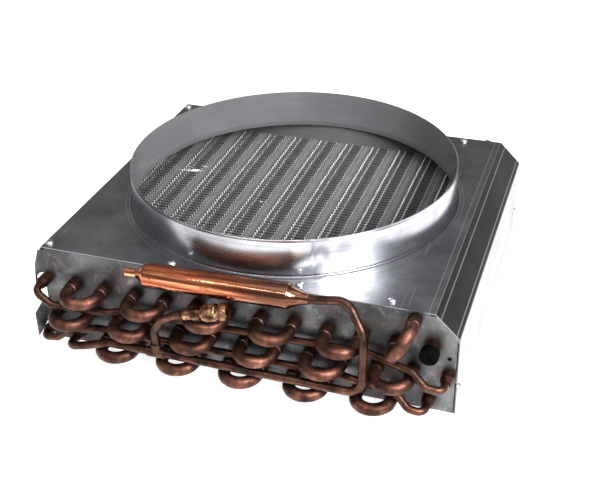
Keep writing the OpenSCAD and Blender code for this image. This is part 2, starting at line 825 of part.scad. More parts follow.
front_end_plate();
rear_end_plate();
fin_pack();
hairpins_row_1();
hairpins_row_2();
hairpins_row_3();
crossover_hairpins();
return_bends_row_1();
return_bends_row_2();
return_bends_row_3();
crossover_return_bend();
braze_rings();
tube_reducers();
jumper_tube_upper();
jumper_tube_lower();
inlet_cap();
outlet_tube();
service_tee();
liquid_line();
process_tube();
access_valve_body();
valve_core_body();
valve_core_seal();
valve_core_spring();
valve_core_pin();
valve_cap();
cap_gasket();
drier_shell();
drier_screens();
drier_core();
shroud();
fan_collar();
top_screws();
side_screws();
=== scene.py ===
# %% [markdown]
# # Air-cooled condenser
#
# This lesson dresses the CAD model of a small refrigeration condenser. A block of thin aluminium
# fins sits between two galvanised end plates. Copper hairpins run through it, and return bends
# join them in front. A galvanised shroud with a round fan collar covers the block.
#
# The CAD model is loaded first and never changes. Each new piece is modelled at the place that
# the CAD model gives, and stands for one or more of its nodes.

import math
import random

import bmesh
import bpy
from mathutils import Matrix, Vector


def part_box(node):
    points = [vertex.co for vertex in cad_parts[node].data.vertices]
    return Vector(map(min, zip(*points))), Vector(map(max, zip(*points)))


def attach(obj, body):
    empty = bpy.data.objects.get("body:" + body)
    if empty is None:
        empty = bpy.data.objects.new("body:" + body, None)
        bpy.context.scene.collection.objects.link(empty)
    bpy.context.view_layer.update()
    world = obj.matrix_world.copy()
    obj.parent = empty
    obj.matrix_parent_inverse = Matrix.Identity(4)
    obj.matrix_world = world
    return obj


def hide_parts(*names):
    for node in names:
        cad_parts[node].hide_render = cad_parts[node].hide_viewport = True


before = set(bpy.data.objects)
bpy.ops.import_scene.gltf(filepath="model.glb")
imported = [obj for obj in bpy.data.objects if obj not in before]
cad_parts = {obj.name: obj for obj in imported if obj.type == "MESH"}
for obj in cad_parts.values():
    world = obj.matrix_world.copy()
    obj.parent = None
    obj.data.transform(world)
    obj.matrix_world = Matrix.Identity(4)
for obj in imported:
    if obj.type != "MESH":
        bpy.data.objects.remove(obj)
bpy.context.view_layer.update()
print("CAD nodes:", len(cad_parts))

# %% [markdown]
# ## Sizes
#
# Everything is modelled in millimetres, measured from the casing's front left top corner. That
# corner and the casing's size are read from the shroud's box, so they always agree with the CAD
# model. The middle of the fan collar is the origin of the CAD model.

# %% Sizes in millimetres
MM = 0.001
shroud_low, shroud_high = [Vector(v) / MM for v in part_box("shroud")]
corner = Vector((shroud_low.x, shroud_low.y, 0))
casing_w = shroud_high.x - shroud_low.x
casing_d = shroud_high.y - shroud_low.y
casing_h = -shroud_low.z
sheet_t = 0.8
slope_w = 18.0
collar_mid = -corner
collar_r = 132.9
collar_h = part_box("fan_collar")[1][2] / MM
print("casing", round(casing_w, 1), round(casing_d, 1), round(casing_h, 1))

# %% [markdown]
# The tubes are 3/8 inch copper, so their outer radius is 4.765 mm, and their front ends are
# widened into mouths. They sit on a staggered grid of 25.4 by 22 mm: rows count downwards, and k
# counts half pitches from the right.

# %% Grid of tubes
tube_r = 4.765
bell_r = 5.305
bell_reach = 8.0
half_pitch = 12.7
row_pitch = 22.0
first_tube_depth = 7.0
tube_from_wall = 6.8
last_k = 25


def tube_x(k):
    return casing_w - tube_from_wall - k * half_pitch


def tube_z(row):
    return -first_tube_depth - row * row_pitch


def below_row(row):
    return (tube_z(row) + tube_z(row + 1)) / 2


print("tubes from", round(tube_x(last_k), 1), "to", round(tube_x(0), 1))

# %% [markdown]
# ## Materials
#
# Every finish is a small graph of shader nodes. One function adds a node: it sets what the node
# does, fills its sockets with numbers, colours or the outputs of other nodes, and gives back the
# new node's outputs. Colours are written as screen values, and `linear` turns them into the
# linear values that the shader works with.
#
# Patterns read Object coordinates, which are metres on the real object, so a pattern whose
# features are 12 mm apart has a scale of 1 / 0.012.

# %% Colours and nodes
def linear(hex_colour):
    parts = [int(hex_colour[i:i + 2], 16) / 255 for i in (1, 3, 5)]
    return [c / 12.92 if c <= 0.04045 else ((c + 0.055) / 1.055) ** 2.4 for c in parts] + [1.0]


def add_node(tree, kind, sockets, stops=(), **settings):
    made = tree.nodes.new("ShaderNode" + kind)
    for name, value in settings.items():
        setattr(made, name, value)
    for socket, value in sockets.items():
        if isinstance(value, bpy.types.NodeSocket):
            tree.links.new(value, made.inputs[socket])
        else:
            made.inputs[socket].default_value = linear(value) if isinstance(value, str) else value
    if stops:
        points = made.color_ramp.elements
        while len(points) < len(stops):
            points.new(0.5)
        for point, (position, colour) in zip(points, stops):
            point.position = position
            point.color = linear(colour)
    return made.outputs


def new_finish(name, metallic, roughness):
    material = bpy.data.materials.new(name)
    material.use_nodes = True
    tree = material.node_tree
    shader = tree.nodes["Principled BSDF"]
    shader.inputs["Metallic"].default_value = metallic
    shader.inputs["Roughness"].default_value = roughness
    place = add_node(tree, "TexCoord", {})["Object"]
    return material, tree, shader, place


# %% [markdown]
# Wear and dirt are laid on in coats, like paint through a stencil: where a mask is white, a
# second colour covers the first. The mask of a blotch is noise with its low values cut off. A
# Mix node keeps a pair of sockets for each type that it can mix, and the colours are at 6 and 7,
# with their result at output 2.

# %% Coats of colour
below_socket, above_socket, mixed_output = 6, 7, 2


def paint_over(tree, colour, mask, strength, top):
    amount = add_node(tree, "Math", {0: mask, 1: strength}, operation="MULTIPLY")[0]
    sockets = {"Factor": amount, below_socket: colour, above_socket: top}
    return add_node(tree, "Mix", sockets, data_type="RGBA")[mixed_output]


def blotched(tree, place, colour, top, size, low, high, strength, detail=2.0, roughness=0.5, warp=0.0):
    noise = add_node(tree, "TexNoise", {"Vector": place, "Scale": 1 / (size * MM), "Detail": detail,
                                        "Roughness": roughness, "Distortion": warp})[0]
    mask = add_node(tree, "MapRange", {"Value": noise, "From Min": low, "From Max": high})[0]
    return paint_over(tree, colour, mask, strength, top)


# %% [markdown]
# ### Galvanised sheet
#
# The shroud, the plates and the collar are steel sheet with a hot-dip zinc coating. The zinc is
# a dull grey metal with a faint rolled grain along the sheet and darker smears where it was
# handled. The sheet isn't quite flat, so reflections wander over it. Sizes are in millimetres:
# the smears are 45 apart and the waves 60. The grain is drawn 1.2 apart, coarser than it is, so
# that it shows.

# %% Galvanised sheet
smear_size, grain_size, wave_size = 45.0, 1.2, 60.0


def galvanised_sheet(name, stops, roughness, grain_scale, waviness, grain_depth=1.0):
    material, tree, shader, place = new_finish(name, 1.0, roughness)
    smears = add_node(tree, "TexNoise", {"Vector": place, "Scale": 1 / (smear_size * MM),
                                         "Detail": 6.0, "Roughness": 0.6})[0]
    rolled = add_node(tree, "Mapping", {"Vector": place, "Scale": grain_scale})[0]
    grain = add_node(tree, "TexNoise", {"Vector": rolled, "Scale": 1 / (grain_size * MM), "Detail": 2.0})[0]
    grain_tone = add_node(tree, "Math", {0: grain, 1: 0.2, 2: 0.05}, operation="MULTIPLY_ADD")[0]
    tone = add_node(tree, "Math", {0: smears, 1: grain_tone}, operation="ADD")[0]
    colour = add_node(tree, "ValToRGB", {"Fac": tone}, stops)["Color"]
    rough = add_node(tree, "MapRange", {"Value": smears, "To Min": roughness + 0.1,
                                        "To Max": roughness - 0.08})[0]
    tree.links.new(rough, shader.inputs["Roughness"])
    waves = add_node(tree, "TexNoise", {"Vector": place, "Scale": 1 / (wave_size * MM), "Detail": 1.0})[0]
    fine = add_node(tree, "Math", {0: grain, 1: grain_depth}, operation="MULTIPLY")[0]
    heights = add_node(tree, "Math", {0: waves, 1: waviness, 2: fine}, operation="MULTIPLY_ADD")[0]
    bump = add_node(tree, "Bump", {"Height": heights, "Strength": 0.3, "Distance": 0.00006})[0]
    tree.links.new(bump, shader.inputs["Normal"])
    return material, tree, shader, place, colour


def from_collar_axis(tree, place):
    flat = add_node(tree, "VectorMath", {0: place, 1: (1.0, 1.0, 0.0)}, operation="MULTIPLY")[0]
    return add_node(tree, "VectorMath", {0: flat}, operation="LENGTH")["Value"]


# %% [markdown]
# The shroud's sheet has fine bright scratches in three directions, made from noise that is
# stretched into streaks. The folded slope is painted darker than the top, as painted shade. Each
# fold has thin bright lines beside it, partly burnished where the press brake held the sheet and
# partly painted highlights along the fold, and two fine pale arcs are painted round the collar's
# seat. The sheared edges and the right wall have an even tone, without smears.
#
# Each line is a band: a Compare node is 1 where a coordinate is nearer to the band's middle than
# half its width.

# %% Shroud finish
# Bright lines by the folds: partly marks of the press brake, partly painted highlights along the folds. The
# arcs are fine pale lines painted round the collar's seat.
brake_marks_and_fold_highlights = [302.6, 307.4, 311.4, 323.1]
drawn_arcs = [3.4, 6.1]
scratch_gap = 2.2
scratches = [(0.5, 0.735), (-0.9, 0.745), (1.9, 0.75)]
shroud_zinc, tree, shader, place, colour = galvanised_sheet(
    "galvanised_shroud", [(0.45, "#6A6B6E"), (0.66, "#85868A"), (0.9, "#A6A7AB")],
    roughness=0.3, grain_scale=(0.3, 1.0, 1.0), waviness=60.0)
for turn, threshold in scratches:
    sockets = {"Vector": place, "Scale": (1.0, 0.035, 1.0), "Rotation": (0, 0, turn)}
    streaks = add_node(tree, "Mapping", sockets)[0]
    noise = add_node(tree, "TexNoise", {"Vector": streaks, "Scale": 1 / (scratch_gap * MM), "Detail": 1.0})[0]
    scratch = add_node(tree, "Math", {0: noise, 1: threshold}, operation="GREATER_THAN")[0]
    colour = paint_over(tree, colour, scratch, 0.55, "#C6C7C9")
axes = add_node(tree, "SeparateXYZ", {0: place})
slope_start = (corner.x + casing_w - slope_w) * MM
# Painted shade: the slope is painted darker than the top.
shaded_slope = add_node(tree, "Math", {0: axes["X"], 1: slope_start}, operation="GREATER_THAN")[0]
colour = paint_over(tree, colour, shaded_slope, 0.88, "#242527")
radius = from_collar_axis(tree, place)
bands = [(radius, collar_r + arc, 0.22, 0.5, "#D8D9DB") for arc in drawn_arcs]
bands += [(axes["X"], corner.x + line, 0.33, 0.7, "#D2D3D5") for line in brake_marks_and_fold_highlights]
bands += [(axes["Y"], end, 0.05, 1.0, "#7C7D80") for end in (corner.y, corner.y + casing_d)]
bands += [(axes["X"], corner.x + casing_w, 0.9, 1.0, "#66676A")]
for source, middle, half_width, strength, top in bands:
    sockets = {0: source, 1: middle * MM, 2: half_width * MM}
    colour = paint_over(tree, colour, add_node(tree, "Math", sockets, operation="COMPARE")[0], strength, top)
tree.links.new(colour, shader.inputs["Base Color"])
print(shroud_zinc.name, len(tree.nodes), "nodes")

# %% [markdown]
# The end plates are the same sheet, dirtier. Flux left brown stains 12 mm apart and pale specks
# 6 mm apart, and the zinc has bloomed in pale patches. The dark ring round each tube of the three
# full rows is partly the tint of brazing heat and partly painted shade where the tube passes
# through the plate. Those rings follow the grid: the distance to the nearest tube is found by
# folding X and Z back and forth over half the spacing, once for the odd rows and once for the
# even one.
#
# The inner face of the rear plate shows over the fins. It lies in shade, so it is painted pale
# and made less metallic, as painted light.

# %% End plate finish
halo_r = 10.5
rear_face, rear_face_half = casing_d - 2.2, 0.8
plate_zinc, tree, shader, place, colour = galvanised_sheet(
    "galvanised_end_plate", [(0.45, "#37383A"), (0.62, "#4A4B4D"), (0.8, "#68696B")],
    roughness=0.42, grain_scale=(1.0, 1.0, 1.0), waviness=20.0)
colour = blotched(tree, place, colour, "#6B574B", 12.0, 0.5, 0.72, 0.6, detail=5.0, roughness=0.7)
colour = blotched(tree, place, colour, "#98948F", 6.0, 0.62, 0.8, 0.6, detail=6.0, roughness=0.7)
colour = blotched(tree, place, colour, "#8B8B8A", 10.0, 0.54, 0.66, 0.6, detail=8.0, roughness=0.75, warp=0.4)
axes = add_node(tree, "SeparateXYZ", {0: place})
below_top = add_node(tree, "Math", {0: axes["Z"], 1: below_row(0) * MM}, operation="LESS_THAN")[0]
for row in (1, 2):
    away = {}
    starts = ((axes["X"], corner.x + tube_x(row % 2), half_pitch), (axes["Z"], tube_z(row), row_pitch))
    for socket, (source, start, reach) in enumerate(starts):
        moved = add_node(tree, "Math", {0: source, 1: start * MM}, operation="SUBTRACT")[0]
        away[socket] = add_node(tree, "Math", {0: moved, 1: reach * MM}, operation="PINGPONG")[0]
    flat = add_node(tree, "CombineXYZ", away)[0]
    distance = add_node(tree, "VectorMath", {0: flat}, operation="LENGTH")["Value"]
    # The ring is brazing heat's tint and painted shade where the tube meets the plate.
    halo = add_node(tree, "MapRange", {"Value": distance, "From Min": tube_r * MM, "From Max": halo_r * MM,
                                       "To Min": 1.0, "To Max": 0.0})[0]
    kept = add_node(tree, "Math", {0: halo, 1: below_top}, operation="MULTIPLY")[0]
    colour = paint_over(tree, colour, kept, 0.75, "#2C2523")
# Painted light: the rear plate's inner face is painted pale and less metallic.
sockets = {0: axes["Y"], 1: (corner.y + rear_face) * MM, 2: rear_face_half * MM}
lit_rear_face = add_node(tree, "Math", sockets, operation="COMPARE")[0]
colour = paint_over(tree, colour, lit_rear_face, 1.0, "#77787A")
tree.links.new(colour, shader.inputs["Base Color"])
painted_light_metallic = add_node(tree, "Math", {0: lit_rear_face, 1: -0.5, 2: 1.0}, operation="MULTIPLY_ADD")[0]
tree.links.new(painted_light_metallic, shader.inputs["Metallic"])
print(plate_zinc.name, len(tree.nodes), "nodes")

# %% [markdown]
# The collar was rolled from a brighter strip. The rolls left fine lines round it, which follow
# its height, so the grain is noise that is squeezed along Z. The crease at its foot is painted
# dark, as painted shade, and its inner face lies in shade and is painted pale and made less
# metallic, as painted light, like the rear plate's.

# %% Collar finish
crease_h = 2.3
wall_middle_r = collar_r - 0.5
collar_zinc, tree, shader, place, colour = galvanised_sheet(
    "rolled_collar_strip", [(0.45, "#84858A"), (0.66, "#999A9E"), (0.9, "#B4B5B9")],
    roughness=0.23, grain_scale=(0.05, 0.05, 1.6), waviness=40.0, grain_depth=0.1)
rolled = add_node(tree, "Mapping", {"Vector": place, "Scale": (0.02, 0.02, 1.0)})[0]
colour = blotched(tree, rolled, colour, "#6E6F72", 4.0, 0.5, 0.75, 0.5, detail=3.0)
axes = add_node(tree, "SeparateXYZ", {0: place})
# Painted shade in the crease at the collar's foot.
foot = add_node(tree, "Math", {0: axes["Z"], 1: crease_h * MM}, operation="LESS_THAN")[0]
colour = paint_over(tree, colour, foot, 0.6, "#2F3033")
# Painted light: the collar's inner face is painted pale and less metallic.
sockets = {0: from_collar_axis(tree, place), 1: wall_middle_r * MM}
lit_inner_wall = add_node(tree, "Math", sockets, operation="LESS_THAN")[0]
colour = paint_over(tree, colour, lit_inner_wall, 0.75, "#77787A")
tree.links.new(colour, shader.inputs["Base Color"])
painted_light_metallic = add_node(tree, "Math", {0: lit_inner_wall, 1: -0.5, 2: 1.0}, operation="MULTIPLY_ADD")[0]
tree.links.new(painted_light_metallic, shader.inputs["Metallic"])
print(collar_zinc.name, len(tree.nodes), "nodes")

# %% [markdown]
# ### Copper
#
# The tubes are drawn copper. Brazing heat has turned them brown, with redder patches about 11 mm
# apart and nearly black soot. Fine pits 1.4 mm apart take the polish off. The bends are darker
# round their joints, so two bands across their legs are laid over the colour.

# %% Copper tubes
soot_size, pit_size = 6.0, 1.4


def aged_copper(name, stops, roughness, patch=11.0, stretch=(1.0, 1.0, 1.0)):
    material, tree, shader, place = new_finish(name, 1.0, roughness)
    drawn = add_node(tree, "Mapping", {"Vector": place, "Scale": stretch})[0]
    patches = add_node(tree, "TexNoise", {"Vector": drawn, "Scale": 1 / (patch * MM), "Detail": 6.0,
                                          "Roughness": 0.62})[0]
    colour = add_node(tree, "ValToRGB", {"Fac": patches}, stops)["Color"]
    colour = blotched(tree, place, colour, "#33241F", soot_size, 0.55, 0.7, 0.7, detail=5.0, roughness=0.7)
    tree.links.new(colour, shader.inputs["Base Color"])
    rough = add_node(tree, "MapRange", {"Value": patches, "To Min": roughness + 0.22,
                                        "To Max": roughness - 0.12})[0]
    tree.links.new(rough, shader.inputs["Roughness"])
    pits = add_node(tree, "TexNoise", {"Vector": place, "Scale": 1 / (pit_size * MM), "Detail": 3.0})[0]
    bump = add_node(tree, "Bump", {"Height": pits, "Strength": 0.3, "Distance": 0.0002})[0]
    tree.links.new(bump, shader.inputs["Normal"])
    return material, tree, shader, place, colour


heated_bands = [(-4.0, 4.5, 0.35), (-8.3, 1.6, 0.6)]
bend_copper, tree, shader, place, colour = aged_copper(
    "heat_tinted_copper", [(0.3, "#1E1513"), (0.45, "#3D2822"), (0.56, "#5A3B30"), (0.76, "#8A5E4E")], 0.45)
axes = add_node(tree, "SeparateXYZ", {0: place})
for y, half_width, strength in heated_bands:
    sockets = {0: axes["Y"], 1: (corner.y + y) * MM, 2: half_width * MM}
    joint = add_node(tree, "Math", sockets, operation="COMPARE")[0]
    colour = paint_over(tree, colour, joint, strength, "#2E1F1A")
tree.links.new(colour, shader.inputs["Base Color"])
line_copper = aged_copper(
    "browned_copper_line", [(0.3, "#1D1412"), (0.45, "#3A2923"), (0.6, "#54392E"), (0.78, "#835B49")],
    0.36)[0]
print(bend_copper.name, len(tree.nodes), "nodes")

# %% [markdown]
# The spun shell of the drier stayed brighter and more orange. Drawing and spinning left streaks
# along it, so its noise is stretched along X. It darkens towards its right end, where it was
# brazed to the liquid line.

# %% Drier shell finish
drier_low, drier_high = [v[0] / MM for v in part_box("drier_shell")]
burnt_start = drier_low + 0.45 * (drier_high - drier_low)
burnt_full = drier_high - 30
drier_copper, tree, shader, place, colour = aged_copper(
    "spun_copper_shell", [(0.34, "#582E1F"), (0.45, "#965236"), (0.55, "#C0704D"), (0.66, "#F0B894")],
    roughness=0.11, patch=2.4, stretch=(0.03, 1.0, 1.0))
axes = add_node(tree, "SeparateXYZ", {0: place})
burnt = add_node(tree, "MapRange", {"Value": axes["X"], "From Min": burnt_start * MM,
                                    "From Max": burnt_full * MM})[0]
colour = paint_over(tree, colour, burnt, 0.85, "#46332B")
tree.links.new(colour, shader.inputs["Base Color"])
print(drier_copper.name, len(tree.nodes), "nodes")

# %% [markdown]
# ### Aluminium fins
#
# The fins are rolled aluminium foil, punched and rippled. From above, the ribs along each fin
# line up from fin to fin, so the block shows long bright and dark stripes that repeat with the
# tubes. The stripes follow from the ripple, and the finish paints them on too, as painted
# highlights and painted shade at the same spacing.
#
# A ramp over one spacing paints the stripes of painted highlight and painted shade. A second
# ramp paints shade on the fins' sides just below their top edge. Both wander by up to 1 mm,
# because no two fins stand quite alike.
# Cut edges and dusty ripples scatter more light than they mirror, so the foil is given only a
# little of its metallic look.

# %% Fin finish
fin_top = -18.0
stripe_pitch = 2 * half_pitch
stripe_start = tube_x(0) - 1.65
light_and_shade_stops = [
    (0.0, "#FFFFFF"), (0.03, "#F4F4F4"), (0.045, "#5C5C5E"), (0.215, "#6E6E70"), (0.23, "#DCDCDC"),
    (0.255, "#D0D0D0"), (0.27, "#565658"), (0.59, "#626264"), (0.605, "#C0C0C2"), (0.625, "#B4B4B6"),
    (0.645, "#68696B"), (0.7, "#737476"), (0.712, "#A0A0A2"), (0.725, "#6E6F71"), (0.79, "#88898B"),
    (0.81, "#98999B"), (0.83, "#6E6F71"), (0.88, "#7C7D7F"), (0.935, "#6E6F71"), (0.955, "#4C4C4E"),
    (0.985, "#4C4C4E"), (1.0, "#FFFFFF")]
shade_stops = [
    (0.0, "#000000"), (0.04, "#404040"), (0.06, "#FFFFFF"), (0.21, "#FFFFFF"), (0.23, "#606060"),
    (0.26, "#606060"), (0.28, "#FFFFFF"), (0.59, "#FFFFFF"), (0.61, "#404040"), (0.8, "#606060"),
    (0.95, "#808080"), (0.97, "#FFFFFF"), (0.985, "#FFFFFF"), (1.0, "#000000")]
wander_size, wander_reach = 4.0, 1.0
dark_from, dark_below = fin_top - 0.3, fin_top - 1.7
fin_aluminium, tree, shader, place = new_finish("rippled_fin_foil", 0.1, 0.42)
axes = add_node(tree, "SeparateXYZ", {0: place})
squeezed = add_node(tree, "Mapping", {"Vector": place, "Scale": (0.1, 1.0, 1.0)})[0]
wander = add_node(tree, "TexNoise", {"Vector": squeezed, "Scale": 1 / (wander_size * MM), "Detail": 1.0})[0]
sockets = {0: wander, 1: wander_reach * MM, 2: axes["X"]}
shifted = add_node(tree, "Math", sockets, operation="MULTIPLY_ADD")[0]
first_stripe = corner.x + stripe_start + wander_reach / 2
sockets = {0: shifted, 1: 1 / (stripe_pitch * MM), 2: -first_stripe / stripe_pitch}
turns = add_node(tree, "Math", sockets, operation="MULTIPLY_ADD")[0]
cycle = add_node(tree, "Math", {0: turns}, operation="FRACT")[0]
# Painted highlights and painted shade: bright and dark stripes at the ripple's spacing.
stripes = add_node(tree, "ValToRGB", {"Fac": cycle}, light_and_shade_stops)["Color"]
# Painted shade on the fins' sides just below their top edge.
sides = add_node(tree, "ValToRGB", {"Fac": cycle}, shade_stops)["Color"]
depth = add_node(tree, "MapRange", {"Value": axes["Z"], "From Min": dark_from * MM,
                                    "From Max": dark_below * MM})[0]
shade = add_node(tree, "Math", {0: depth, 1: sides}, operation="MULTIPLY")[0]
colour = paint_over(tree, stripes, shade, 0.85, "#161617")
print("stripes every", stripe_pitch, "mm")

# %% [markdown]
# Dust lies on the foil in short dashes from fin to fin, and a few fins are nicked and bent,
# where painted highlights stand for the light that they catch.

# %% Dust and nicks on the fins
dashes = add_node(tree, "Mapping", {"Vector": place, "Scale": (1.0, 0.1, 1.0)})[0]
colour = blotched(tree, dashes, colour, "#2E2E2F", 1.2, 0.4, 0.7, 0.5)
# Painted highlights on a few nicked, bent fins.
wide = add_node(tree, "Mapping", {"Vector": place, "Scale": (0.25, 1.0, 1.0)})[0]
colour = blotched(tree, wide, colour, "#F2F2F2", 12.0, 0.73, 0.77, 1.0, detail=3.0)
tree.links.new(colour, shader.inputs["Base Color"])
print(fin_aluminium.name, len(tree.nodes), "nodes")

# %% [markdown]
# ### Brass, rubber, screws and brazing alloy
#
# The small pieces each have one colour that drifts a little, and a roughness that drifts with
# it. The brass is turned bar that has tarnished, and the brazing alloy has burnt flux on it. The
# rubber is moulded and nearly black, and its dull skin hardly shines, so its specular level is
# close to nothing. The drier is filled with beads of desiccant, pressed into a block.

# %% Other finishes
def plain_finish(name, metallic, roughness, stops, patch):
    material, tree, shader, place = new_finish(name, metallic, roughness)
    patches = add_node(tree, "TexNoise", {"Vector": place, "Scale": 1 / (patch * MM), "Detail": 4.0})[0]
    colour = add_node(tree, "ValToRGB", {"Fac": patches}, stops)["Color"]
    tree.links.new(colour, shader.inputs["Base Color"])
    rough = add_node(tree, "MapRange", {"Value": patches, "To Min": roughness + 0.1,
                                        "To Max": roughness - 0.1})[0]
    tree.links.new(rough, shader.inputs["Roughness"])
    return material


brass_stops = [(0.3, "#3A2A20"), (0.5, "#70523C"), (0.7, "#B08C6A")]
braze_stops = [(0.3, "#2B211D"), (0.55, "#54423A"), (0.75, "#8A7466")]
turned_brass = plain_finish("turned_brass", 1.0, 0.26, brass_stops, 4.0)
moulded_rubber = plain_finish("moulded_rubber", 0.0, 0.6, [(0.3, "#020202"), (0.7, "#060505")], 2.0)
moulded_rubber.node_tree.nodes["Principled BSDF"].inputs["Specular IOR Level"].default_value = 0.02
zinc_screw = plain_finish("zinc_plated_screw", 1.0, 0.24, [(0.3, "#A8A9AB"), (0.7, "#E2E2E4")], 2.0)
braze_alloy = plain_finish("brazing_alloy", 1.0, 0.5, braze_stops, 3.0)
spring_wire = plain_finish("spring_wire", 1.0, 0.3, [(0.3, "#8B8C8E"), (0.7, "#BDBEC0")], 2.0)
desiccant = plain_finish("pressed_beads", 0.0, 0.8, [(0.3, "#C9BFA8"), (0.7, "#E6DDC8")], 2.0)
print("finishes:", len(bpy.data.materials))

# %% [markdown]
# ## Pieces kept from the CAD model
#
# The sheet metal keeps its CAD mesh, because the folds, holes and tabs are already right. So do
# the tee, the noses that narrow the tubes, and the pieces inside the valve and the drier. The
# loose triangles are welded and split again at the sharp edges, so that the round faces shade
# smoothly.

# %% Finish the CAD nodes
kept_nodes = {
    "shroud": shroud_zinc,
    "front_end_plate": plate_zinc, "rear_end_plate": plate_zinc,
    "valve_core_body": turned_brass, "valve_core_seal": moulded_rubber,
    "valve_core_spring": spring_wire, "valve_core_pin": turned_brass,
    "cap_gasket": moulded_rubber, "drier_screens": turned_brass, "drier_core": desiccant,
    "tube_reducers": bend_copper, "service_tee": line_copper,
}
for name, finish in kept_nodes.items():
    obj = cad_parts[name]
    obj.data.materials.clear()
    obj.data.materials.append(finish)
    for face in obj.data.polygons:
        face.use_smooth = True
    weld = obj.modifiers.new("weld", "WELD")
    weld.merge_threshold = 0.002 * MM
    split = obj.modifiers.new("sharp edges", "EDGE_SPLIT")
    split.split_angle = math.radians(30)
print("kept from the CAD model:", len(kept_nodes))

# %% [markdown]
# ## Turning a bmesh into a piece
#
# Each new piece is built in a bmesh. This helper moves it from the casing's corner to the frame
# of the CAD model, smooths it except at sharp edges, and lets it ride on the body that its CAD
# node belongs to.


def add_piece(name, bm, finish, nodes, body="condenser", sharp_angle=35):
    bmesh.ops.scale(bm, vec=(MM, MM, MM), verts=bm.verts)
    bmesh.ops.translate(bm, vec=corner * MM, verts=bm.verts)
    mesh = bpy.data.meshes.new(name)
    bm.to_mesh(mesh)
    bm.free()
    mesh.shade_smooth()
    mesh.set_sharp_from_angle(angle=math.radians(sharp_angle))
    obj = bpy.data.objects.new(name, mesh)
    bpy.context.scene.collection.objects.link(obj)
    mesh.materials.append(finish)
    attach(obj, body)
    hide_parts(*nodes)
    print(name, len(mesh.polygons), "faces")


# %% [markdown]
# ## Turning on a lathe
#
# Round pieces are turned: half of the outline is drawn as radius and height, and spun once round
# the axis. One bmesh can hold several turned shapes, so the new vertices are found by walking
# along the edges from the outline. A `shape` function may then push each vertex in or out, which
# gives seams, knurls and recesses. The spin can leave the shape inside out, so doubles are
# merged and the normals made to point outwards.

# %% Turn an outline round an axis
def turned(bm, outline, place, steps=32, shape=None):
    verts = [bm.verts.new((r, 0, h)) for r, h in outline]
    edges = [bm.edges.new(pair) for pair in zip(verts, verts[1:])]
    bmesh.ops.spin(bm, geom=verts + edges, cent=(0, 0, 0), axis=(0, 0, 1), angle=math.tau,
                   steps=steps, use_merge=True)
    grown = set(verts)
    todo = list(verts)
    while todo:
        for e in todo.pop().link_edges:
            for w in e.verts:
                if w not in grown:
                    grown.add(w)
                    todo.append(w)
    for v in grown:
        if shape:
            scale = shape(math.hypot(v.co.x, v.co.y), v.co.z, math.atan2(v.co.y, v.co.x))
            v.co.x *= scale
            v.co.y *= scale
    bmesh.ops.transform(bm, matrix=place, verts=list(grown))


def settle(bm):
    bmesh.ops.remove_doubles(bm, verts=bm.verts, dist=0.005)
    bmesh.ops.recalc_face_normals(bm, faces=bm.faces)


# %% [markdown]
# ## Fan collar
#
# The collar is a rolled strip that flares out at its foot and lies on the shroud. It is turned
# as a thin wall: out along the foot, up the outside past a shallow line near the rim, over the
# rounded rim and down the inside. A shallow groove across the outside is the seam where the
# strip's ends meet.

# %% Fan collar
flare_r = 2.2
foot_t = 0.25
rim_round = 0.15
groove = 0.1
groove_below_rim = 2.2
groove_half = 0.4
inner_r = collar_r - sheet_t
tail = -sheet_t - 0.7
seam_angle = math.radians(-65.5)
seam_half = math.radians(0.16)
flare = [(collar_r + flare_r * (1 - math.sin(a)), flare_r * (1 - math.cos(a)) + foot_t)
         for a in [math.radians(d) for d in (4, 18, 34, 50, 66, 80, 90)]]
groove_h = collar_h - groove_below_rim
rim = [(collar_r, groove_h - groove_half), (collar_r - groove, groove_h),
       (collar_r, groove_h + groove_half), (collar_r, collar_h - rim_round),
       (collar_r - rim_round, collar_h), (inner_r + rim_round, collar_h), (inner_r, collar_h - rim_round)]
inside = [(inner_r, tail), (collar_r - groove, tail), (collar_r - groove, 0.02)]
foot = [(collar_r + flare_r, 0.02)]


def seam(radius, height, angle):
    at_seam = abs(angle - seam_angle) < seam_half and radius > collar_r - groove / 2 and height > flare_r
    return 1 - groove / radius if at_seam else 1.0


bm = bmesh.new()
turned(bm, foot + flare + rim + inside + foot, Matrix.Translation(collar_mid), steps=720, shape=seam)
settle(bm)
add_piece("fan_collar", bm, collar_zinc, ["fan_collar"])

# %% [markdown]
# ## Fins
#
# Each fin is a thin aluminium sheet, rippled so that air mixes between the fins. Seen from above
# the ripple repeats with the tube spacing: three slanting ribs with sharp steps between them
# catch the light, and the rest is flat. The ripple is a list of points along X and sideways.

# %% Fin ripple
fin_margin = 5.05
fin_left = tube_x(last_k) - fin_margin
fin_right = tube_x(0) + fin_margin
ripple = [(0.0, 0.0), (1.2, 0.0), (1.4, -0.7), (5.5, 0.8), (5.7, 0.0), (6.6, 0.0), (6.8, -0.7),
          (10.9, 0.5), (11.1, -0.5), (15.1, 0.7), (15.3, 0.0), (24.6, 0.0)]


def fin_wave(x):
    phase = (x - stripe_start) % stripe_pitch
    points = ripple + [(stripe_pitch, ripple[0][1])]
    for (x0, y0), (x1, y1) in zip(points, points[1:]):
        if x0 <= phase <= x1:
            return y0 + (y1 - y0) * (phase - x0) / (x1 - x0)
    return 0.0


def fin_stations():
    stations = {fin_left, fin_right}
    for count in range(-1, 15):
        for offset, _ in ripple:
            x = stripe_start - count * stripe_pitch + offset
            if fin_left < x < fin_right:
                stations.add(x)
    return sorted(stations)


stations = fin_stations()
print("points along a fin:", len(stations))

# %% [markdown]
# One fin starts as a line of vertices over the ripple's points, is extruded down into a strip of
# faces and given a thickness. The foil is drawn thicker than it is, so that its edge shows, and
# each fin leans a little its own way.

